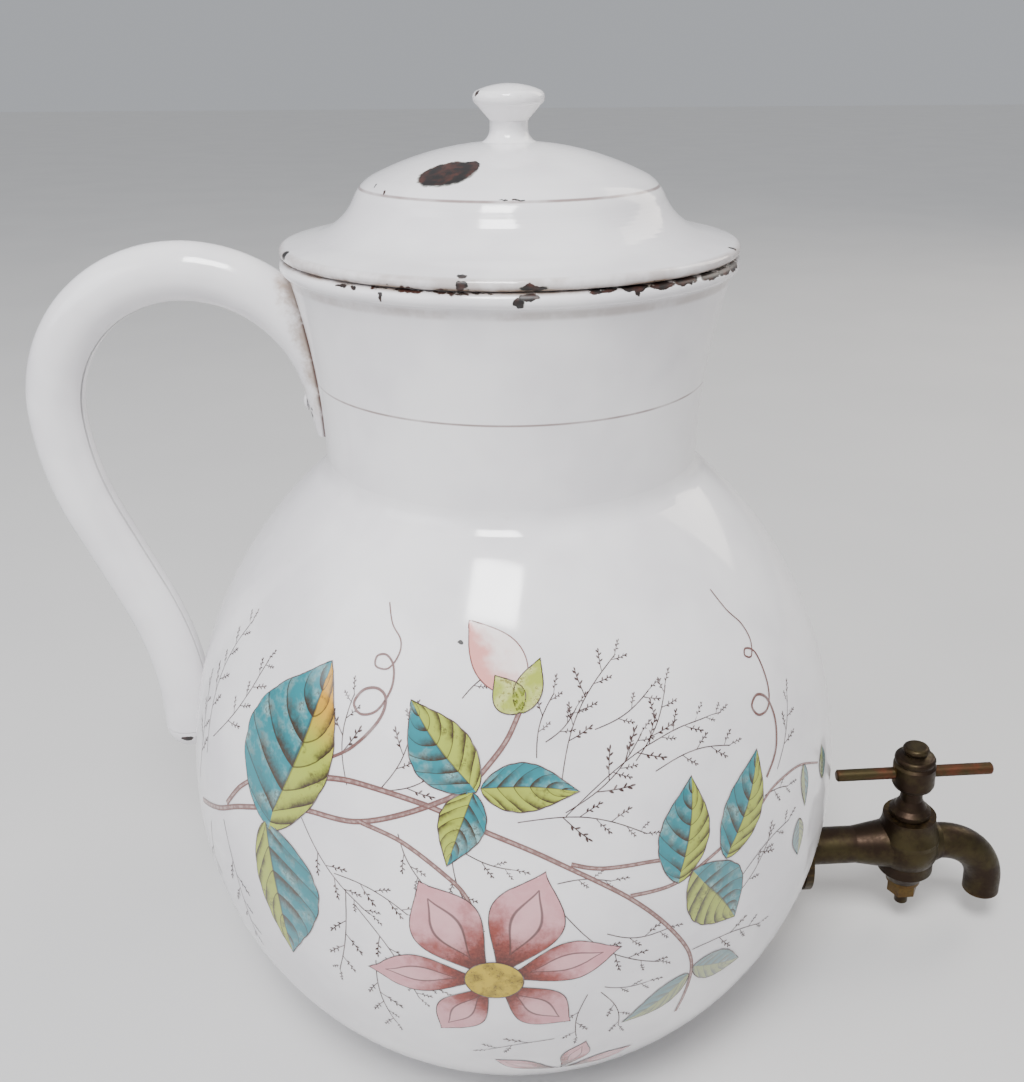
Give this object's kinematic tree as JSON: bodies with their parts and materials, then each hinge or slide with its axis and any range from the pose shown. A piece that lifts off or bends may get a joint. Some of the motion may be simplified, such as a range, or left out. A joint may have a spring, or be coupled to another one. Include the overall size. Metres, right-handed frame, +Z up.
{
  "type": "enamelled water jug with tap",
  "caption": "Round-bellied enamelled water jug with a flared neck, a lift-off lid with a knob, a hollow side handle and a brass tap with a cross bar.",
  "frame": {"origin": "centre of the flat base, on the jug's axis", "axes": "+Z up along the jug's axis, +X towards the tap, -X towards the handle, -Y towards the decorated side"},
  "size_m": [0.369, 0.24, 0.3324],
  "materials": {
    "white_enamel": "gloss vitreous enamel on sheet iron",
    "aged_brass": "dark brown patina, worn golden on the edges",
    "steel": "dull drawn wire",
    "leather": "pressed and darkened by water",
    "rubber": "matt"
  },
  "bodies": {
    "jug": {"base_plate": "white_enamel", "belly_shell": "white_enamel", "neck_shell": "white_enamel", "rim_wire": "steel", "tap_boss": "white_enamel", "handle_tube": "white_enamel", "handle_end_cap": "white_enamel", "handle_rivet": "white_enamel", "tap_outer_washer": "leather", "tap_body": "aged_brass", "tap_inner_washer": "rubber", "tap_backnut": "aged_brass"},
    "lid": {"lid_shell": "white_enamel", "lid_rim_wire": "steel", "lid_collar": "white_enamel", "lid_knob": "white_enamel", "knob_rivet": "steel"},
    "tap_key": {"tap_plug": "aged_brass", "tap_bar": "aged_brass", "plug_washer": "aged_brass", "plug_nut": "aged_brass"}
  },
  "joints": [
    {"name": "lid_lift", "type": "slide", "parent": "jug", "child": "lid", "axis": [0, 0, 1], "range_m": [0, 0.08]},
    {"name": "tap_turn", "type": "hinge", "parent": "jug", "child": "tap_key", "pos_m": [0.16194, 0, 0.04216], "axis": [-0.0523, 0, 0.9986], "continuous": true}
  ]
}
